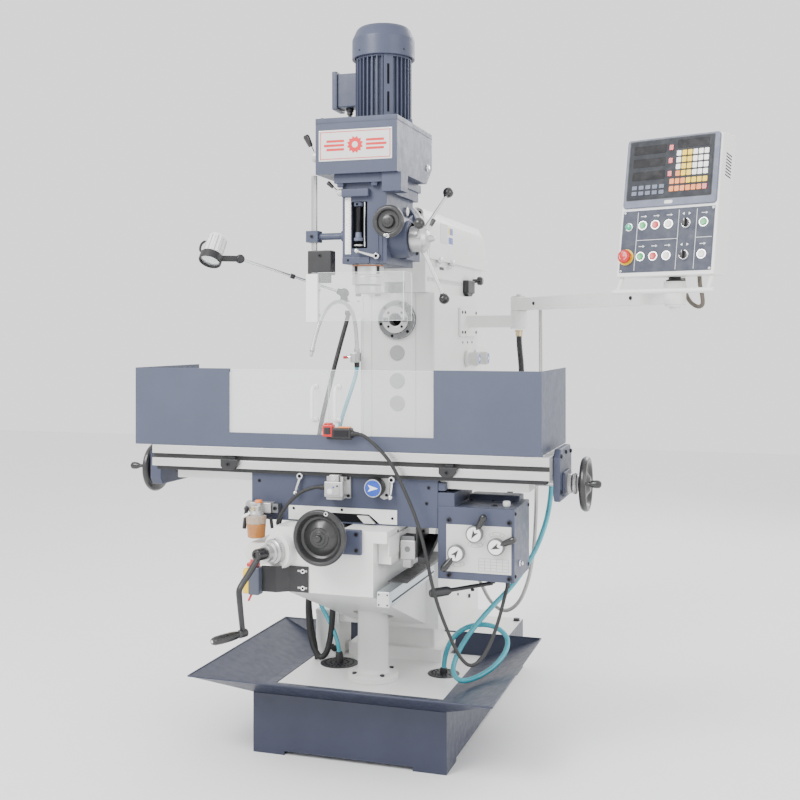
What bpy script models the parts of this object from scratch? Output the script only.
# Universal knee-type vertical milling machine: cast base with chip pan, column, knee,
# saddle, long table with splash guard, ram, swivelling vertical head, swing-out
# control pendant and work lamp.  Metres, +Z up.
# Frame: x = 0 is the column's centre plane, +X runs to the operator's right along the
# table, +Y runs back from the operator, z = 0 is the floor, y = 0 is the base's centre.
import bpy
import bmesh
from math import sin, cos, pi, radians, sqrt
from mathutils import Vector, Matrix

for _o in list(bpy.data.objects):
    bpy.data.objects.remove(_o, do_unlink=True)

# ------------------------------------------------------------------ driving dimensions
GAP = 0.0005                      # air left between neighbouring pieces
BASE_X, BASE_Y, BASE_Z = 0.3104, 0.5587, 0.185
DECK_X, DECK_Y0, DECK_Z = 0.2739, -0.4605, 0.1876
PAN_X, PAN_Y0, PAN_Y1, PAN_Z = 0.4757, -0.6783, 0.0654, 0.2532
COL_X, COL_Y0, COL_Y1, COL_Z = 0.133, -0.068, 0.549, 1.434
HSP_Z = 1.342                     # horizontal spindle height
SCREW_Y = -0.32                   # elevating screw
KNEE_X, KNEE_Y0, KNEE_Z0, KNEE_Z1 = 0.1735, -0.70, 0.54, 0.729
CRANK_DEG, CRANK_Y, CRANK_Z = 22.0, -0.30, 0.657
CROSS_Z = 0.717                   # cross feed screw height
SAD_X, SAD_Y0, SAD_Y1, SAD_Z1 = 0.295, -0.60, -0.30, 0.878
TAB_X, TAB_Y0, TAB_Y1, TAB_Z0, TAB_Z1 = 0.625, -0.6255, -0.3055, 0.8826, 0.9478
TAB_YC, LSC_Z = -0.4655, 0.858    # table centre line, lead screw height
GUARD_X0, GUARD_X1, GUARD_Z1 = -0.685, 0.603, 1.188
OPEN_X0, OPEN_X1, STRIP_Z = -0.359, 0.289, 0.993
RAM_X, RAM_Y0, RAM_Y1 = 0.105, -0.098, 0.79
HEAD_Z = 1.63                     # head swivel axis height
QUILL_Y = -0.37
HUB_Z = 1.59
ELBOW = (0.336, 0.358)
PEND = (0.95, -0.405)
PEND_E = (0.9404, -0.3401)        # pendant's width direction
PEND_W = 0.295
PEND_TOP, PEND_BOT = 1.859, 1.457
LAMP_BASE = (-0.2208, 0.0, 1.438)
LAMP_TIP = (-0.53, -0.20, 1.553)
V = Vector
FINE = 0.62                       # share of the nominal facets given to round pieces


def facets(n):
    return n if n <= 10 else max(10, 2 * round(n * FINE / 2))


# ------------------------------------------------------------------ helpers
def raw(name, verts, faces):
    me = bpy.data.meshes.new(name)
    me.from_pydata([tuple(v) for v in verts], [], faces)
    bm = bmesh.new()
    bm.from_mesh(me)
    bmesh.ops.remove_doubles(bm, verts=bm.verts, dist=1e-6)
    bmesh.ops.recalc_face_normals(bm, faces=bm.faces)
    if bm.calc_volume(signed=True) < 0:
        bmesh.ops.reverse_faces(bm, faces=bm.faces)
    bm.to_mesh(me)
    bm.free()
    ob = bpy.data.objects.new(name, me)
    bpy.context.scene.collection.objects.link(ob)
    return ob


def box(lo, hi, name="blank"):
    x0, y0, z0 = [min(a, b) for a, b in zip(lo, hi)]
    x1, y1, z1 = [max(a, b) for a, b in zip(lo, hi)]
    vs = [(x, y, z) for z in (z0, z1) for y in (y0, y1) for x in (x0, x1)]
    fs = [(0, 2, 3, 1), (4, 5, 7, 6), (0, 1, 5, 4), (2, 6, 7, 3), (0, 4, 6, 2), (1, 3, 7, 5)]
    return raw(name, vs, fs)


def frame_of(axis):
    w = V(axis).normalized()
    t = V((0, 0, 1)) if abs(w.z) < 0.9 else V((1, 0, 0))
    u = t.cross(w).normalized()
    return u, w.cross(u), w


def lathe(p0, axis, profile, n=24, name="turned", phase=0.0):
    """profile: (radius, distance along axis) pairs of an open outline whose two ends
    lie on the axis (radius 0), or a closed ring outline when neither end does."""
    u, v, w = frame_of(axis)
    n = facets(n)
    p0 = V(p0)
    closed = profile[0][0] > 0 and profile[-1][0] > 0
    rings, vs, fs = [], [], []
    for r, s in profile:
        if r <= 0:
            rings.append([len(vs)])
            vs.append(p0 + w * s)
        else:
            rings.append(list(range(len(vs), len(vs) + n)))
            for k in range(n):
                a = 2 * pi * k / n + phase
                vs.append(p0 + w * s + (u * cos(a) + v * sin(a)) * r)
    pairs = list(zip(rings, rings[1:]))
    if closed:
        pairs.append((rings[-1], rings[0]))
    for a, b in pairs:
        for k in range(n):
            k2 = (k + 1) % n
            if len(a) == 1 and len(b) == 1:
                continue
            if len(a) == 1:
                fs.append((a[0], b[k2], b[k]))
            elif len(b) == 1:
                fs.append((a[k], a[k2], b[0]))
            else:
                fs.append((a[k], a[k2], b[k2], b[k]))
    return raw(name, vs, fs)


def cyl(p0, p1, r, r2=None, n=24, name="round", phase=0.0):
    p0, p1 = V(p0), V(p1)
    n = facets(n)
    L = (p1 - p0).length
    r2 = r if r2 is None else r2
    u, v, w = frame_of(p1 - p0)
    vs, fs = [], []
    for s, rr in ((0.0, r), (L, r2)):
        for k in range(n):
            a = 2 * pi * k / n + phase
            vs.append(p0 + w * s + (u * cos(a) + v * sin(a)) * rr)
    fs.append(tuple(range(n))[::-1])
    fs.append(tuple(range(n, 2 * n)))
    for k in range(n):
        k2 = (k + 1) % n
        fs.append((k, k2, n + k2, n + k))
    return raw(name, vs, fs)


def hole(p0, p1, r, n=24):
    """A cutter whose flats, not its corners, stand at radius r."""
    return cyl(p0, p1, r / cos(pi / facets(n)), n=n)


def ball(c, r, n=12, m=6, name="ball"):
    n, m = min(n, 12), 6
    prof = [(0, -r)] + [(r * sin(pi * k / m), -r * cos(pi * k / m)) for k in range(1, m)] + [(0, r)]
    return lathe(c, (0, 0, 1), prof, n, name)


def prism(pts, axis, lo, hi, name="prism"):
    """pts: outline in the two axes left over, in x, y, z order."""
    def put(a, b, c):
        return {"x": (c, a, b), "y": (a, c, b), "z": (a, b, c)}[axis]
    n = len(pts)
    vs = [put(a, b, lo) for a, b in pts] + [put(a, b, hi) for a, b in pts]
    fs = [tuple(range(n))[::-1], tuple(range(n, 2 * n))]
    fs += [(k, (k + 1) % n, n + (k + 1) % n, n + k) for k in range(n)]
    return raw(name, vs, fs)


def loft(sections, name="loft"):
    """sections: equal-length closed outlines of 3-D points."""
    n = len(sections[0])
    vs = [p for s in sections for p in s]
    fs = [tuple(range(n))[::-1], tuple(range(n * (len(sections) - 1), n * len(sections)))]
    for j in range(len(sections) - 1):
        for k in range(n):
            k2 = (k + 1) % n
            fs.append((j * n + k, j * n + k2, (j + 1) * n + k2, (j + 1) * n + k))
    return raw(name, vs, fs)


def boolean(a, b, op):
    m = a.modifiers.new("cut", "BOOLEAN")
    m.operation = op
    m.solver = "EXACT"
    m.object = b
    bpy.context.view_layer.update()
    dg = bpy.context.evaluated_depsgraph_get()
    me = bpy.data.meshes.new_from_object(a.evaluated_get(dg))
    a.modifiers.clear()
    a.data = me
    bpy.data.objects.remove(b, do_unlink=True)
    return a


def add(a, *more):
    for b in more:
        boolean(a, b, "UNION")
    return a


def cut(a, *more):
    for b in more:
        boolean(a, b, "DIFFERENCE")
    return a


MATS = {}


def mat(name, rgb, rough, metal=0.0, alpha=1.0):
    m = bpy.data.materials.new(name)
    m.use_nodes = True
    b = m.node_tree.nodes["Principled BSDF"]
    b.inputs["Base Color"].default_value = (*rgb, 1)
    b.inputs["Roughness"].default_value = rough
    b.inputs["Metallic"].default_value = metal
    b.inputs["Alpha"].default_value = alpha
    return m


def node(name, ob, origin, rgb, rough=0.5, metal=0.0, alpha=1.0, smooth=None):
    bm = bmesh.new()
    bm.from_mesh(ob.data)
    bmesh.ops.remove_doubles(bm, verts=bm.verts, dist=1e-6)
    bmesh.ops.dissolve_degenerate(bm, edges=bm.edges, dist=1e-6)
    bmesh.ops.dissolve_limit(bm, angle_limit=radians(0.2), verts=bm.verts, edges=bm.edges)
    bmesh.ops.triangulate(bm, faces=bm.faces)
    bm.to_mesh(ob.data)
    bm.free()
    ob.data.materials.clear()
    ob.data.materials.append(mat(name + "_finish", rgb, rough, metal, alpha))
    ob.data.transform(Matrix.Translation(-V(origin)))
    ob.location = origin
    ob.name = name
    ob.data.name = name
    ob.data.shade_smooth()
    ob.data.set_sharp_from_angle(angle=radians(35))
    return ob


BLUE = (0.125, 0.15, 0.215)
DARKBLUE = (0.06, 0.07, 0.115)
WHITE = (0.74, 0.74, 0.73)
STEEL = (0.55, 0.56, 0.57)
BRIGHT = (0.72, 0.72, 0.72)
BLACK = (0.02, 0.02, 0.022)

# ------------------------------------------------------------------ base and chip pan
o = box((-BASE_X, -BASE_Y, 0.012), (BASE_X, BASE_Y, BASE_Z))
o = add(o, box((-DECK_X, DECK_Y0, 0.17), (DECK_X, 0.0195, DECK_Z)))
o = add(o, box((-0.1745, 0.0, 0.171), (0.1745, 0.10, DECK_Z)))
o = add(o, box((-BASE_X, 0.078, 0.17), (BASE_X, BASE_Y, DECK_Z)))
for sx in (-1, 1):
    for sy in (-1, 1):
        o = add(o, box((sx * BASE_X, sy * BASE_Y, 0), (sx * 0.206, sy * 0.452, 0.02)))
node("base", o, (0, 0, 0), DARKBLUE, 0.55)


def rect(x, y0, y1, z):
    return [(-x, y0, z), (x, y0, z), (x, y1, z), (-x, y1, z)]


P = 0.0045
o = loft([rect(BASE_X, -BASE_Y, 0.03, BASE_Z + GAP), rect(PAN_X, PAN_Y0, PAN_Y1, PAN_Z)])
k = (PAN_Z + 0.002 - (BASE_Z + GAP)) / (PAN_Z - (BASE_Z + GAP))
inner_top = rect(BASE_X + (PAN_X - BASE_X) * k - P, -BASE_Y + (PAN_Y0 + BASE_Y) * k + P,
                 0.03 + (PAN_Y1 - 0.03) * k - P, PAN_Z + 0.002)
o = cut(o, loft([rect(BASE_X - P - 0.002, -BASE_Y + P + 0.002, 0.03 - P, BASE_Z + GAP + 0.0035), inner_top]))
o = cut(o, box((-DECK_X - GAP, DECK_Y0 - GAP, 0.15), (DECK_X + GAP, 0.020, 0.22)))
o = cut(o, box((-0.175, -0.15, 0.15), (0.175, 0.1, 0.3)))
node("chip_pan", o, (0, 0, BASE_Z), DARKBLUE, 0.45)

# ------------------------------------------------------------------ column
o = box((-COL_X, COL_Y0, DECK_Z + GAP), (COL_X, COL_Y1, COL_Z))
o = add(o, box((-0.165, -0.10, DECK_Z + GAP), (0.165, 0.03, 0.231)))
o = add(o, box((-0.165, 0.02, DECK_Z + GAP), (0.165, 0.548, 0.214)))
o = add(o, box((-0.036, 0.0, COL_Z - 0.01), (0.036, 0.50, COL_Z + 0.036)))      # ram key
o = add(o, cyl((0, COL_Y0 + 0.02, HSP_Z), (0, COL_Y0 - 0.012, HSP_Z), 0.066, n=32))
o = cut(o, hole((0, -0.2, HSP_Z), (0, 0.13, HSP_Z), 0.0475, n=32))
for z in (1.229, 1.133, 1.056):                                                # blind plugs
    o = add(o, cyl((0, COL_Y0 + 0.01, z), (0, COL_Y0 - 0.003, z), 0.0255, n=24))
# lamp lug: gusset standing off the left side
o = add(o, prism([(-0.246, 1.4067), (-0.12, 1.4067), (-0.12, 1.346), (-0.150, 1.346), (-0.246, 1.394)],
                 "y", -0.028, 0.028))
# sockets for the two selector knobs
for y in (0.36, 0.50):
    o = cut(o, hole((0.10, y, 1.20), (0.2, y, 1.20), 0.0105, n=16))
node("column", o, (0, 0, DECK_Z), WHITE, 0.4)

o = lathe((0, SCREW_Y, DECK_Z + GAP), (0, 0, 1),
          [(0.024, 0), (0.081, 0), (0.081, 0.022), (0.052, 0.026), (0.049, 0.032), (0.049, 0.312), (0.024, 0.312)], 32)
node("screw_pedestal", o, (0, SCREW_Y, DECK_Z), WHITE, 0.4)

o = box((-0.128, COL_Y1 + GAP, 0.45), (0.128, 0.722, 1.20))
o = add(o, prism([(COL_Y1 + GAP, 1.19), (0.722, 1.19), (0.722, 1.215), (0.68, 1.25), (COL_Y1 + GAP, 1.25)], "x", -0.128, 0.128))
node("electrical_cabinet", o, (0, COL_Y1, 0.45), WHITE, 0.45)

# horizontal spindle in the column
o = lathe((0, COL_Y0 - 0.026, HSP_Z), (0, 1, 0),
          [(0, 0.09), (0.016, 0.09), (0.0225, 0.0), (0.0465, 0.0), (0.0465, 0.205), (0, 0.205)], 32)
for a in (0, 180):
    c = V((cos(radians(a)) * 0.034, COL_Y0 - 0.026, HSP_Z + sin(radians(a)) * 0.034))
    o = add(o, box((c.x - 0.0085, c.y - 0.008, c.z - 0.0075), (c.x + 0.0085, c.y + 0.01, c.z + 0.0075)))
node("horizontal_spindle", o, (0, COL_Y0, HSP_Z), BRIGHT, 0.3, 1)

for nm, y in (("speed_knob_front", 0.36), ("speed_knob_rear", 0.50)):
    o = lathe((COL_X, y, 1.20), (1, 0, 0),
              [(0, -0.025), (0.010, -0.025), (0.010, GAP), (0.031, GAP), (0.031, 0.010), (0.024, 0.014),
               (0.024, 0.050), (0.022, 0.053), (0, 0.053)], 24)
    node(nm, o, (COL_X, y, 1.20), BLACK, 0.4)

# ------------------------------------------------------------------ knee
cd = V((-sin(radians(CRANK_DEG)), -cos(radians(CRANK_DEG)), 0))       # crank axis, outwards
cu = V((cos(radians(CRANK_DEG)), -sin(radians(CRANK_DEG)), 0))
c0 = V((0, CRANK_Y, CRANK_Z))


def cp(s, u=0.0, v=0.0):
    return c0 + cd * s + cu * u + V((0, 0, v))


KR = COL_Y0 - GAP                                                     # knee's rear face
o = prism([(KNEE_Y0, 0.71), (KNEE_Y0, KNEE_Z0), (-0.13, 0.318), (KR, 0.318), (KR, 0.71)], "x", -0.132, 0.132)
o = add(o, box((-KNEE_X, KNEE_Y0, 0.695), (KNEE_X, KR, KNEE_Z1)))
o = add(o, box((-KNEE_X, -0.165, 0.318), (KNEE_X, KR, 0.71)))
for sx in (-1, 1):                                                    # gibs round the column
    o = add(o, box((sx * (COL_X + GAP), -0.10, 0.33), (sx * KNEE_X, -0.022, KNEE_Z1)))
o = add(o, prism([(-0.290, 0.625), (-0.270, 0.605), (-0.10, 0.605), (-0.10, 0.668), (-0.272, 0.668), (-0.290, 0.652)],
                 "y", -0.66, -0.50))
o = add(o, cyl(cp(0.20), cp(0.439), 0.0535, n=28))
o = cut(o, box((-0.035, -0.675, 0.69), (0.035, -0.16, 0.80)))         # cross screw trough
o = cut(o, hole((0, -0.72, CROSS_Z), (0, -0.66, CROSS_Z), 0.0118, n=16))
o = cut(o, hole((0, SCREW_Y, 0.20), (0, SCREW_Y, 0.62), 0.064, n=28))   # pedestal well
o = cut(o, hole((0, SCREW_Y, 0.61), (0, SCREW_Y, 0.641), 0.0198, n=20))
o = cut(o, hole(cp(0.08), cp(0.50), 0.0128, n=16))
node("knee", o, (0, SCREW_Y, KNEE_Z1), WHITE, 0.4)

o = cyl((0, SCREW_Y, 0.212), (0, SCREW_Y, 0.6395), 0.019, n=20)
node("elevating_screw", o, (0, SCREW_Y, 0.64), STEEL, 0.35, 1)

o = lathe(cp(0), cd, [(0, 0.095), (0.012, 0.095), (0.012, 0.4415), (0.0365, 0.4415), (0.0365, 0.458),
                      (0.030, 0.461), (0.030, 0.468), (0.0235, 0.470), (0.0235, 0.487), (0.0175, 0.487),
                      (0.0175, 0.525), (0, 0.525)], 24)
o = add(o, cyl(cp(0.505, 0, 0), cp(0.585, 0, -0.085), 0.0095, n=10))
o = add(o, ball(cp(0.585, 0, -0.085), 0.0105, 10, 6))
o = add(o, cyl(cp(0.585, 0, -0.085), cp(0.572, 0, -0.212), 0.0095, 0.0085, n=10))
o = add(o, lathe(cp(0, 0, -0.214), cd, [(0, 0.560), (0.0115, 0.560), (0.012, 0.588), (0.008, 0.590), (0.0105, 0.594),
                                        (0.0135, 0.625), (0.0125, 0.675), (0.009, 0.685), (0, 0.685)], 14))
node("knee_crank", o, tuple(c0), BLACK, 0.4)

o = lathe((0, 0, CROSS_Z), (0, 1, 0),
          [(0, -0.803), (0.011, -0.801), (0.011, -0.790), (0.026, -0.788),
           (0.054, -0.768), (0.068, -0.790), (0.078, -0.789), (0.081, -0.780),
           (0.070, -0.762), (0.026, -0.758), (0.031, -0.745), (0.031, -0.716),
           (0.011, -0.716), (0.011, -0.19), (0, -0.19)], 32)
node("cross_handwheel", o, (0, -0.70, CROSS_Z), BLACK, 0.4)

# ------------------------------------------------------------------ saddle
o = box((-SAD_X, SAD_Y0, KNEE_Z1 + GAP), (SAD_X, SAD_Y1, SAD_Z1))
o = cut(o, box((-0.4, -0.585, 0.838), (0.4, -0.345, 0.95)))
o = add(o, box((-0.030, -0.488, 0.83), (0.030, -0.443, 0.8745)))
o = cut(o, hole((-0.1, TAB_YC, LSC_Z), (0.1, TAB_YC, LSC_Z), 0.0117, n=20))
o = cut(o, box((-0.5, -0.488, 0.8395), (-0.0305, -0.443, 0.95)), box((0.0305, -0.488, 0.8395), (0.5, -0.443, 0.95)))
o = add(o, box((-0.026, -0.45, 0.6985), (0.026, -0.40, 0.74)))
o = cut(o, hole((0, -0.5, CROSS_Z), (0, -0.35, CROSS_Z), 0.0117, n=20))
for x, z, r in ((-0.132, 0.866, 0.0055), (0.158, 0.866, 0.0055), (0.110, 0.843, 0.0085)):
    o = cut(o, hole((x, -0.61, z), (x, -0.588, z), r, n=12))
node("saddle", o, (0, SAD_Y0, KNEE_Z1), BLUE, 0.5)

o = lathe((-0.256, -0.652, 0), (0, 0, 1), [(0, 0.682), (0.024, 0.682), (0.027, 0.687), (0.030, 0.745), (0.030, 0.752),
                                           (0.022, 0.754), (0.022, 0.772), (0, 0.772)], 20)
o = add(o, box((-0.290, -0.634, 0.752), (-0.215, SAD_Y0 - GAP, 0.786)))
o = add(o, box((-0.270, -0.668, 0.766), (-0.242, -0.63, 0.780)))
node("oiler", o, (-0.256, -0.652, 0.68), (0.65, 0.35, 0.08), 0.25)

# feed gearbox on the saddle's right end, three levers on its front
GX0, GX1, GY0, GY1, GZ0, GZ1 = SAD_X + GAP, 0.521, -0.60, -0.385, 0.585, 0.795
o = box((GX0, GY0, GZ0), (GX1, GY1, GZ1))
o = add(o, box((GX0, GY0, 0.78), (0.345, GY1, 0.834)))
o = add(o, prism([(-0.47, 0.79), (-0.445, 0.812), (-0.385, 0.812), (-0.385, 0.79)], "x", 0.36, 0.50))
LEV = ((0.408, 0.722, 60.0), (0.471, 0.689, 25.0), (0.354, 0.664, 232.0))
for x, z, a in LEV:
    o = cut(o, hole((x, -0.62, z), (x, -0.575, z), 0.0065, n=12))
node("feed_gearbox", o, (GX0, GY0, GZ0), BLUE, 0.5)
for i, (x, z, a) in enumerate(LEV):
    o = lathe((x, GY0, z), (0, -1, 0), [(0, -0.020), (0.006, -0.020), (0.006, GAP), (0.0245, GAP), (0.0245, 0.022),
                                        (0.0225, 0.025), (0, 0.025)], 20)
    ca, sa = cos(radians(a)), sin(radians(a))
    o = add(o, cyl((x, GY0 - 0.013, z), (x + 0.062 * ca, GY0 - 0.024, z + 0.062 * sa), 0.0085, 0.0105, n=12))
    node("feed_lever_%d" % (i + 1), o, (x, GY0, z), BLACK, 0.4)

for nm, x in (("table_lock_left", -0.132), ("table_lock_right", 0.158)):
    o = lathe((x, SAD_Y0, 0.866), (0, -1, 0), [(0, -0.010), (0.005, -0.010), (0.005, GAP), (0.0105, GAP), (0.0105, 0.014),
                                               (0, 0.014)], 14)
    dx = -0.010 if x < 0 else -0.001
    o = add(o, cyl((x, SAD_Y0 - 0.008, 0.866), (x + dx, SAD_Y0 - 0.020, 0.820), 0.0045, 0.0035, n=10))
    o = add(o, ball((x + dx, SAD_Y0 - 0.020, 0.817), 0.0082, 10, 6))
    node(nm, o, (x, SAD_Y0, 0.866), BRIGHT, 0.25, 1)

o = lathe((0.110, SAD_Y0, 0.843), (0, -1, 0), [(0, -0.011), (0.008, -0.011), (0.008, GAP), (0.028, GAP), (0.028, 0.020),
                                               (0.0265, 0.040), (0.0245, 0.042), (0, 0.042)], 24)
node("feed_selector", o, (0.110, SAD_Y0, 0.843), (0.05, 0.12, 0.4), 0.4)

# ------------------------------------------------------------------ table
o = box((-TAB_X, TAB_Y0, TAB_Z0), (TAB_X, TAB_Y1, TAB_Z1))
o = add(o, box((-0.56, -0.58, 0.8425), (0.56, -0.35, 0.89)))
o = cut(o, box((-0.7, -0.4955, 0.80), (0.7, -0.4355, 0.8826)))
for y in (TAB_YC - 0.075, TAB_YC, TAB_YC + 0.075):                     # T-slots
    o = cut(o, box((-0.7, y - 0.007, 0.9285), (0.7, y + 0.007, 0.96)))
    o = cut(o, box((-0.7, y - 0.0125, 0.9185), (0.7, y + 0.0125, 0.9295)))
o = cut(o, box((-0.7, -0.64, 0.9075), (0.7, -0.614, 0.9215)))          # dog slot in the front edge
node("table", o, (0, TAB_YC, TAB_Z1), STEEL, 0.35, 1)

XB = TAB_X + GAP
o = prism([(-0.556, 0.815), (-0.375, 0.815), (-0.36, 0.835), (-0.36, 0.926), (-0.38, 0.946), (-0.551, 0.946), (-0.571, 0.926), (-0.571, 0.835)],
          "x", XB, 0.664)
o = cut(o, hole((0.5, TAB_YC, LSC_Z), (0.7, TAB_YC, LSC_Z), 0.0117, n=20))
node("end_bracket_right", o, (XB, TAB_YC, LSC_Z), BLUE, 0.5)
o = prism([(-0.556, 0.815), (-0.375, 0.815), (-0.36, 0.835), (-0.36, 0.925), (-0.38, 0.945), (-0.551, 0.945), (-0.571, 0.925), (-0.571, 0.835)],
          "x", -0.664, -XB)
o = cut(o, hole((-0.7, TAB_YC, LSC_Z), (-0.5, TAB_YC, LSC_Z), 0.0117, n=20))
node("end_bracket_left", o, (-XB, TAB_YC, LSC_Z), BLUE, 0.5)

o = lathe((0, TAB_YC, LSC_Z), (1, 0, 0),
          [(0, -0.730), (0.008, -0.730), (0.011, -0.727), (0.011, -0.672), (0.024, -0.672), (0.024, -0.6645),
           (0.011, -0.6645), (0.011, 0.6645), (0.030, 0.6645), (0.030, 0.680), (0.024, 0.683), (0.011, 0.683),
           (0.011, 0.711), (0.008, 0.714), (0, 0.714)], 20)
node("longitudinal_screw", o, (0, TAB_YC, LSC_Z), STEEL, 0.3, 1)
WHEEL = [(0.0116, 0.016), (0.022, 0.016), (0.052, -0.006), (0.067, 0.011), (0.077, 0.011), (0.080, 0.003),
         (0.074, -0.010), (0.024, -0.018), (0.0116, -0.018)]
for nm, x, sx in (("handwheel_left", -0.700, -1), ("handwheel_right", 0.701 + 0.0015, 1)):
    o = lathe((x, TAB_YC, LSC_Z), (sx, 0, 0), WHEEL, 32)
    kx = x + sx * 0.004
    a = radians(8)
    ky, kz = TAB_YC - 0.066 * cos(a), LSC_Z + 0.066 * sin(a)
    o = add(o, lathe((kx, ky, kz), (sx, 0, 0), [(0, 0), (0.006, 0), (0.0055, 0.012), (0.009, 0.016), (0.0125, 0.034),
                                                (0.0115, 0.046), (0.006, 0.051), (0, 0.051)], 12))
    node(nm, o, (x, TAB_YC, LSC_Z), BLACK, 0.4)

# splash guard: U of 3 mm sheet with a door opening in front
T = 0.003
gz = TAB_Z1 + GAP
o = prism([(GUARD_X0, -0.625), (GUARD_X1, -0.625), (GUARD_X1, -0.210), (GUARD_X1 - T, -0.210), (GUARD_X1 - T, -0.625 + T),
           (GUARD_X0 + T, -0.625 + T), (GUARD_X0 + T, -0.210), (GUARD_X0, -0.210)], "z", gz, GUARD_Z1)
o = cut(o, box((OPEN_X0, -0.66, STRIP_Z), (OPEN_X1, -0.61, 1.3)))
o = cut(o, box((0.5, -0.5995, 0.90), (0.7, -0.20, TAB_Z1 + 0.0030)))       # right side hangs clear of the table
o = add(o, box((-0.60, -0.6245, gz), (0.58, -0.600, gz + 0.003)))       # foot flange on the table
node("splash_guard", o, (0, -0.625, gz), BLUE, 0.45)
for nm, xa, xb, xh in (("door_left", -0.374, -0.0375, -0.078), ("door_right", -0.0345, 0.304, -0.005)):
    o = box((xa, -0.6165, 0.957), (xb, -0.6125, 1.186))
    o = add(o, cyl((xh, -0.614, 1.040), (xh, -0.648, 1.040), 0.0045, n=10),
            cyl((xh, -0.614, 1.132), (xh, -0.648, 1.132), 0.0045, n=10),
            cyl((xh, -0.648, 1.030), (xh, -0.648, 1.142), 0.0058, n=10))
    node(nm, o, (xh, -0.6145, 1.07), (0.85, 0.87, 0.88), 0.1, 0, 0.3)

# ------------------------------------------------------------------ ram and head
o = prism([(-0.110, COL_Z + GAP), (0.110, COL_Z + GAP), (0.110, 1.552), (-0.110, 1.552)], "y", RAM_Y0, 0.70)
o = add(o, prism([(-0.118, 1.550), (0.118, 1.550), (0.118, 1.594), (-0.118, 1.594)], "y", RAM_Y0, 0.775))
o = add(o, loft([[(-RAM_X, y, 1.59), (RAM_X, y, 1.59), (RAM_X, y, 1.690 - d), (0.088, y, 1.722 - d), (-0.088, y, 1.722 - d),
                  (-RAM_X, y, 1.690 - d)] for y, d in ((RAM_Y0, 0.0), (0.735, 0.0), (RAM_Y1, 0.035))]))
o = add(o, cyl((0, RAM_Y0 + 0.01, HEAD_Z), (0, -0.131, HEAD_Z), 0.115, n=40))
o = cut(o, box((-0.0365, -0.2, 1.40), (0.0365, 0.9, COL_Z + 0.037)))
node("ram", o, (0, RAM_Y0, HEAD_Z), WHITE, 0.4)

HY1 = -0.1315
o = box((-0.060, -0.440, 1.512), (0.086, -0.165, 1.7635))
o = add(o, cyl((0, -0.20, HEAD_Z), (0, HY1, HEAD_Z), 0.115, n=40))
o = add(o, box((-0.081, -0.460, 1.7625), (0.105, -0.135, 1.7885)))
o = add(o, box((0.080, -0.470, 1.731), (0.142, -0.400, 1.7885)))
o = add(o, box((0.080, -0.410, 1.731), (0.100, -0.15, 1.775)))
o = add(o, cyl((0.05, QUILL_Y, HUB_Z), (0.144, QUILL_Y, HUB_Z), 0.058, n=32))
o = add(o, box((0.06, -0.31, 1.532), (0.110, -0.165, 1.648)))
o = add(o, cyl((0.1066, -0.470, 1.636), (0.1066, -0.33, 1.636), 0.0275, n=24))
o = add(o, cyl((0.0, -0.4195, 1.601), (-0.152, -0.4195, 1.601), 0.0105, n=16))
o = add(o, box((-0.184, -0.440, 1.583), (-0.144, -0.400, 1.619)))
o = cut(o, hole((0, QUILL_Y, 1.45), (0, QUILL_Y, 1.745), 0.0456, n=32))
o = cut(o, hole((-0.162, -0.42, 1.5), (-0.162, -0.42, 1.7), 0.0093, n=16))
o = cut(o, box((-0.030, -0.46, 1.560), (0.022, -0.424, 1.705)))
o = cut(o, hole((0.093, QUILL_Y, HUB_Z), (0.2, QUILL_Y, HUB_Z), 0.0125, n=16))
o = cut(o, hole((0.1066, -0.50, 1.636), (0.1066, -0.44, 1.636), 0.0085, n=12))
o = cut(o, hole((0.056, -0.46, 1.534), (0.056, -0.428, 1.534), 0.0055, n=12))
o = cut(o, hole((-0.10, -0.425, 1.738), (-0.048, -0.425, 1.738), 0.0055, n=12))
node("head_body", o, (0, HY1, HEAD_Z), BLUE, 0.5)

o = prism([(-0.483, 1.789), (-0.165, 1.789), (-0.102, 1.845), (-0.102, 1.962), (-0.483, 1.962)], "x", -0.1334, 0.1334)
o = add(o, cyl((0.118, -0.31, 1.955), (0.118, -0.31, 1.977), 0.0115, n=16))
o = cut(o, hole((-0.2, -0.450, 1.850), (-0.118, -0.450, 1.850), 0.0065, n=12))
node("gear_housing", o, (0, -0.2925, 1.789), BLUE, 0.5)

o = lathe((0, -0.216, 1.9625), (0, 0, 1), [(0, 0), (0.104, 0), (0.104, 0.014), (0.093, 0.018), (0.093, 0.232), (0.104, 0.236),
                                           (0.104, 0.318), (0.092, 0.336), (0, 0.341)], 40)
o = add(o, box((-0.168, -0.256, 2.037), (-0.07, -0.176, 2.164)))
node("motor", o, (0, -0.216, 1.9625), BLUE, 0.5)

o = lathe((0, QUILL_Y, 0), (0, 0, 1), [(0.0227, 1.448), (0.0505, 1.448), (0.0505, 1.508), (0.045, 1.5095), (0.045, 1.700),
                                       (0.0227, 1.700)], 32)
node("quill", o, (0, QUILL_Y, 1.512), BRIGHT, 0.3, 1)
o = lathe((0, QUILL_Y, 0), (0, 0, 1), [(0, 1.52), (0.0145, 1.52), (0.0205, 1.420), (0.042, 1.420), (0.042, 1.4474),
                                       (0.0219, 1.4474), (0.0219, 1.742), (0, 1.742)], 32)
for a in (0, 180):
    x = cos(radians(a)) * 0.0325
    o = add(o, box((x - 0.0075, QUILL_Y - 0.0075, 1.412), (x + 0.0075, QUILL_Y + 0.0075, 1.43)))
node("spindle", o, (0, QUILL_Y, 1.42), BRIGHT, 0.3, 1)

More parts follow.
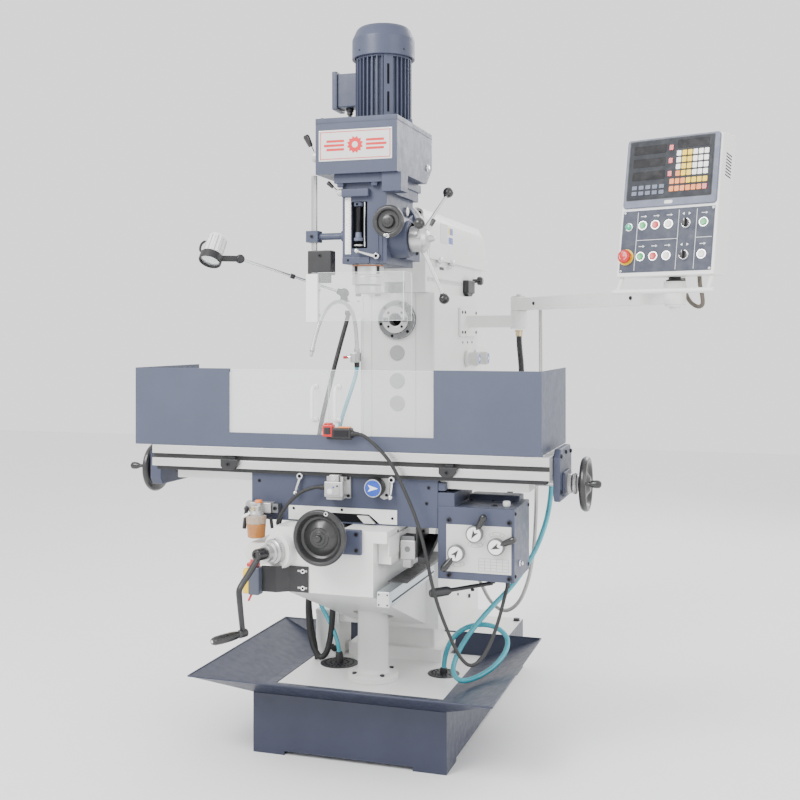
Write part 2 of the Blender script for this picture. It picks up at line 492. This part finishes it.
o = lathe((0, QUILL_Y, HUB_Z), (1, 0, 0), [(0, 0.095), (0.012, 0.095), (0.012, 0.1445), (0.0405, 0.1445), (0.0405, 0.186),
                                           (0.034, 0.200), (0.012, 0.203), (0.010, 0.212), (0.004, 0.222), (0, 0.222)], 28)
for a in (52, 172, 292):
    ca, sa = cos(radians(a)), sin(radians(a))
    o = add(o, cyl((0.176, QUILL_Y + 0.030 * ca, HUB_Z + 0.030 * sa), (0.2285, QUILL_Y + 0.190 * ca, HUB_Z + 0.190 * sa), 0.0055, n=10))
    o = add(o, ball((0.230, QUILL_Y + 0.200 * ca, HUB_Z + 0.200 * sa), 0.0175, 14, 8))
node("quill_feed_hub", o, (0.17, QUILL_Y, HUB_Z), STEEL, 0.35, 1)

o = lathe((0.1066, -0.470, 1.636), (0, -1, 0),
          [(0, -0.025), (0.008, -0.025), (0.008, GAP), (0.020, GAP), (0.022, 0.004), (0.040, 0.004), (0.0475, 0.008),
           (0.0508, 0.016), (0.0475, 0.025), (0.040, 0.026), (0.034, 0.014), (0.020, 0.014), (0.018, 0.026), (0.008, 0.030),
           (0, 0.030)], 28)
node("fine_feed_wheel", o, (0.1066, -0.470, 1.636), BLACK, 0.45)

o = lathe((0.056, -0.440, 1.534), (0, -1, 0), [(0, -0.010), (0.005, -0.010), (0.005, GAP), (0.0095, GAP), (0.0095, 0.016), (0, 0.016)], 14)
o = add(o, cyl((0.056, -0.449, 1.534), (-0.004, -0.458, 1.550), 0.0042, 0.0036, n=10), ball((-0.006, -0.4585, 1.5505), 0.0080, 10, 6))
node("quill_lock_lever", o, (0.056, -0.440, 1.534), BRIGHT, 0.2, 1)

for nm, c, r in (("speed_lever_upper", V((-0.1334, -0.450, 1.850)), 0.0185), ("speed_lever_lower", V((-0.060, -0.425, 1.738)), 0.0125)):
    o = lathe(c, (-1, 0, 0), [(0, -0.012), (0.006 if r > 0.015 else 0.005, -0.012), (0.006 if r > 0.015 else 0.005, GAP), (r, GAP),
                              (r, 0.016), (r * 0.8, 0.024), (0, 0.024)], 18)
    d = (V((-0.30, -0.42, 0.86)) if r > 0.015 else V((-0.62, -0.42, 0.66))).normalized()
    L = 0.075 if r > 0.015 else 0.048
    a0 = c + V((-0.012 if r > 0.015 else -0.019, 0, 0))
    o = add(o, cyl(a0, a0 + d * L * 0.6, 0.004, n=8), cyl(a0 + d * L * 0.5, a0 + d * L, r * 0.42, r * 0.58, n=14))
    node(nm, o, tuple(c), (0.6, 0.6, 0.6), 0.4)

SX, SY = -0.162, -0.420                                               # cutter shield's hinge bar
o = cyl((SX, SY, 1.49), (SX, SY, 1.795), 0.0085, n=6)
o = add(o, box((-0.176, -0.447, 1.452), (-0.096, -0.404, 1.556)))
o = add(o, box((-0.177, -0.4575, 1.330), (-0.137, -0.4365, 1.482)))
o = add(o, prism([(-0.175, -0.4535), (0.146, -0.4535), (0.146, -0.368), (0.1435, -0.368), (0.1435, -0.451), (-0.175, -0.451)],
                 "z", 1.334, 1.486))
node("cutter_shield", o, (SX, SY, 1.5), (0.8, 0.82, 0.84), 0.15, 0, 0.4)

# ------------------------------------------------------------------ pendant arm and panel
ex, ey = ELBOW
o = box((COL_X + GAP, 0.25, 1.284), (0.142, 0.50, 1.390))
o = add(o, box((0.14, 0.335, 1.318), (ex, 0.381, 1.362)))
o = add(o, cyl((ex, ey, 1.312), (ex, ey, 1.3795), 0.031, n=24), cyl((ex, ey, 1.37), (ex, ey, 1.424), 0.0115, n=16))
node("pendant_bracket", o, (COL_X, ey, 1.34), WHITE, 0.4)

px, py = PEND
ad = V((px - ex, py - ey, 0)).normalized()
an = V((-ad.y, ad.x, 0))


def arm_sec(p, h, z0, z1):
    return [p - an * h + V((0, 0, z0)), p + an * h + V((0, 0, z0)), p + an * h + V((0, 0, z1)), p - an * h + V((0, 0, z1))]


o = loft([arm_sec(V((ex, ey, 0)), 0.0215, 1.3800, 1.4250), arm_sec(V((px, py, 0)), 0.0215, 1.3800, 1.4250)])
o = add(o, cyl((ex, ey, 1.3800), (ex, ey, 1.4300), 0.031, n=24), cyl((px, py, 1.3775), (px, py, 1.4440), 0.032, n=24))
o = cut(o, hole((ex, ey, 1.3), (ex, ey, 1.4245), 0.012, n=16), hole((px, py, 1.39), (px, py, 1.5), 0.0105, n=16))
node("pendant_arm", o, (ex, ey, 1.402), WHITE, 0.4)

pe = V((PEND_E[0], PEND_E[1], 0)).normalized()
pn = V((pe.y, -pe.x, 0))                                              # towards the operator
pc = V((px, py, 0))
NT, NB, DEPTH = 0.0044, 0.0777, 0.092                                 # front face offset at top and bottom


def pp(e, n, z):
    return pc + pe * e + pn * n + V((0, 0, z))


W2 = PEND_W / 2
sec = [(NT, PEND_TOP), (NB, PEND_BOT), (NB - DEPTH, PEND_BOT), (NT - DEPTH, PEND_TOP)]
o = loft([[pp(-W2, n, z) for n, z in sec], [pp(W2, n, z) for n, z in sec]])
o = add(o, cyl((px, py, 1.4445), (px, py, 1.47), 0.026, n=20), cyl((px, py, 1.40), (px, py, 1.45), 0.0100, n=14))
HB = 0.088                                                            # grab bar under the panel
for s in (-1, 1):
    o = add(o, cyl(pp(s * (W2 - 0.012), 0.055, 1.47), pp(s * (W2 - 0.012), HB, 1.416), 0.0065, n=10))
o = add(o, cyl(pp(-W2 - 0.004, HB, 1.414), pp(W2 + 0.004, HB, 1.414), 0.0075, n=12))
front_dir = V((0, 0, PEND_BOT - PEND_TOP)) + pn * (NB - NT)
face_dn = front_dir.normalized()
face_n = pe.cross(face_dn).normalized()
if face_n.dot(pn) < 0:
    face_n = -face_n


def on_face(a, b, out=0.0):
    return pp(-W2 + a, NT, PEND_TOP) + face_dn * b + face_n * out


BUTTONS = [("button_1_green", 0.0722, 0.258, (0.05, 0.45, 0.12)), ("button_2_red", 0.1114, 0.258, (0.6, 0.03, 0.03)),
           ("button_3_white", 0.1515, 0.258, (0.85, 0.85, 0.85)), ("button_4_green", 0.2557, 0.258, (0.05, 0.45, 0.12)),
           ("button_5_green", 0.0722, 0.350, (0.05, 0.45, 0.12)), ("button_6_red", 0.1114, 0.350, (0.6, 0.03, 0.03)),
           ("button_7_white", 0.1515, 0.350, (0.85, 0.85, 0.85)), ("button_8_white", 0.2557, 0.350, (0.85, 0.85, 0.85))]
SELECT = [("selector_upper", 0.2038, 0.258), ("selector_lower", 0.2038, 0.350)]
ESTOP = (0.027, 0.350)
for nm, a, b, c in BUTTONS:
    o = add(o, cyl(on_face(a, b, -0.01), on_face(a, b, 0.004), 0.0145, n=20))
    o = cut(o, hole(on_face(a, b, -0.012), on_face(a, b, 0.02), 0.0108, n=16))
for nm, a, b in SELECT:
    o = cut(o, hole(on_face(a, b, -0.012), on_face(a, b, 0.02), 0.0065, n=12))
o = cut(o, hole(on_face(*ESTOP, -0.014), on_face(*ESTOP, 0.02), 0.0085, n=12))
o = add(o, cyl(on_face(0.0293, 0.2606, -0.01), on_face(0.0293, 0.2606, 0.007), 0.011, n=16))    # power lamp
node("pendant_box", o, (px, py, 1.457), WHITE, 0.45)
for nm, a, b, c in BUTTONS:
    o = lathe(on_face(a, b, 0), face_n, [(0, -0.006), (0.0103, -0.006), (0.0103, 0.0065), (0.0095, 0.0075), (0, 0.0075)], 16)
    node(nm, o, tuple(on_face(a, b, 0)), c, 0.35)
for nm, a, b in SELECT:
    o = lathe(on_face(a, b, 0), face_n, [(0, -0.010), (0.006, -0.010), (0.006, GAP), (0.0145, GAP), (0.0145, 0.006), (0.012, 0.008),
                                         (0, 0.008)], 18)
    c1, c2 = on_face(a, b, 0.006), on_face(a, b, 0.019)
    h, w = 0.0125, 0.0035
    secs = [[c - face_dn * h - pe * w, c + face_dn * h - pe * w, c + face_dn * h + pe * w, c - face_dn * h + pe * w] for c in (c1, c2)]
    o = add(o, loft(secs))
    node(nm, o, tuple(on_face(a, b, 0)), BLACK, 0.4)
o = lathe(on_face(*ESTOP), face_n, [(0, -0.009), (0.008, -0.009), (0.008, 0.0065), (0.0190, 0.0075), (0.0200, 0.012), (0.0185, 0.018),
                                    (0.011, 0.022), (0, 0.023)], 20)
node("emergency_stop", o, tuple(on_face(*ESTOP)), (0.65, 0.02, 0.02), 0.35)

# ------------------------------------------------------------------ work lamp
lb, lt = V(LAMP_BASE), V(LAMP_TIP)
o = cyl((lb.x, lb.y, 1.4072), (lb.x, lb.y, 1.425), 0.010, n=16)
o = add(o, ball(lb, 0.0185, 14, 8))
ld = (lt - lb).normalized()
o = add(o, cyl(lb, lt - ld * 0.008, 0.0065, n=12))
lh = V((-ld.y, ld.x, 0)).normalized()                                 # hinge line of the head
o = add(o, cyl(lt - lh * 0.009, lt + lh * 0.009, 0.016, n=16))
node("lamp_arm", o, tuple(lb), STEEL, 0.35, 1)
o = box((-0.01, -0.0095, -0.012), (0.075, -0.0125, 0.012), "tongue")
hx = V((ld.x, ld.y, 0)).normalized()


def lamp_pt(a, b, c):
    """a outwards along the arm, b across it, c up, measured from the joint."""
    return lt + hx * a + lh * b + V((0, 0, c))


bpy.data.objects.remove(o, do_unlink=True)
secs = []
for a in (-0.010, 0.078):
    secs.append([lamp_pt(a, 0.0095, -0.011), lamp_pt(a, 0.0130, -0.011), lamp_pt(a, 0.0130, 0.011), lamp_pt(a, 0.0095, 0.011)])
o = loft(secs)
hc = lamp_pt(0.090, 0.0, 0.030)
beam = V((-0.037, -0.537, -0.850)).normalized()
o = add(o, lathe(hc, beam, [(0, -0.058), (0.026, -0.058), (0.033, -0.050), (0.035, 0.020), (0.0395, 0.030), (0.0395, 0.052),
                            (0.036, 0.052), (0.034, 0.044), (0, 0.044)], 20))
node("lamp_head", o, tuple(lt), WHITE, 0.4)


# ------------------------------------------------------------------ free hose and cable
def smooth_route(pts, n):
    """Catmull-Rom curve through the route's points, read at n evenly spaced stations."""
    P = [V(p) for p in pts]
    P = [P[0] * 2 - P[1]] + P + [P[-1] * 2 - P[-2]]
    fine = []
    for i in range(1, len(P) - 2):
        for k in range(24):
            t = k / 24
            a, b, c, d = P[i - 1], P[i], P[i + 1], P[i + 2]
            fine.append(0.5 * ((2 * b) + (c - a) * t + (2 * a - 5 * b + 4 * c - d) * t * t + (3 * b - a - 3 * c + d) * t ** 3))
    fine.append(P[-2])
    for _ in range(40):
        fine = [fine[0]] + [(fine[i - 1] + fine[i] * 2 + fine[i + 1]) / 4 for i in range(1, len(fine) - 1)] + [fine[-1]]
    acc = [0.0]
    for a, b in zip(fine, fine[1:]):
        acc.append(acc[-1] + (b - a).length)
    out, j = [], 0
    for k in range(n):
        s = acc[-1] * k / (n - 1)
        while j < len(acc) - 2 and acc[j + 1] < s:
            j += 1
        f = (s - acc[j]) / max(acc[j + 1] - acc[j], 1e-9)
        out.append(fine[j].lerp(fine[j + 1], min(max(f, 0), 1)))
    return out, acc[-1]


def tube(name, pts, r, res, rgb):
    cu_ = bpy.data.curves.new(name, "CURVE")
    cu_.dimensions = "3D"
    sp = cu_.splines.new("POLY")
    sp.points.add(len(pts) - 1)
    for k, p in enumerate(pts):
        sp.points[k].co = (*p, 1)
    cu_.bevel_depth = r
    cu_.bevel_resolution = res
    cu_.use_fill_caps = True
    ob = bpy.data.objects.new(name, cu_)
    bpy.context.scene.collection.objects.link(ob)
    cu_.materials.append(mat(name + "_finish", rgb, 0.3))
    return ob


HOSE = [(0.580, -0.325, 0.872), (0.578, -0.322, 0.840), (0.570, -0.305, 0.780), (0.548, -0.268, 0.700), (0.505, -0.240, 0.600),
        (0.440, -0.236, 0.500), (0.372, -0.246, 0.425), (0.312, -0.268, 0.350), (0.276, -0.300, 0.285), (0.268, -0.330, 0.238),
        (0.296, -0.346, 0.214), (0.340, -0.330, 0.222), (0.388, -0.290, 0.248), (0.418, -0.245, 0.288), (0.415, -0.215, 0.326),
        (0.375, -0.205, 0.352), (0.322, -0.205, 0.356), (0.270, -0.210, 0.338), (0.230, -0.212, 0.298), (0.210, -0.212, 0.245),
        (0.205, -0.212, 0.190)]
pts, L = smooth_route(HOSE, 44)
tube("drain_hose", pts, 0.0082, 2, (0.1, 0.5, 0.55))

CABLE = [(0.064, -0.642, 1.000), (0.085, -0.643, 0.995), (0.125, -0.646, 0.965), (0.168, -0.650, 0.920), (0.205, -0.654, 0.855),
         (0.240, -0.656, 0.780), (0.262, -0.655, 0.715), (0.276, -0.648, 0.650), (0.288, -0.635, 0.575), (0.305, -0.618, 0.500),
         (0.330, -0.602, 0.425), (0.356, -0.590, 0.365), (0.385, -0.580, 0.335), (0.416, -0.570, 0.352), (0.442, -0.560, 0.400),
         (0.462, -0.548, 0.460), (0.476, -0.535, 0.520), (0.484, -0.524, 0.560), (0.485, -0.523, 0.5836)]
pts, L = smooth_route(CABLE, 46)
tube("switch_cable", pts, 0.0052, 2, BLACK)
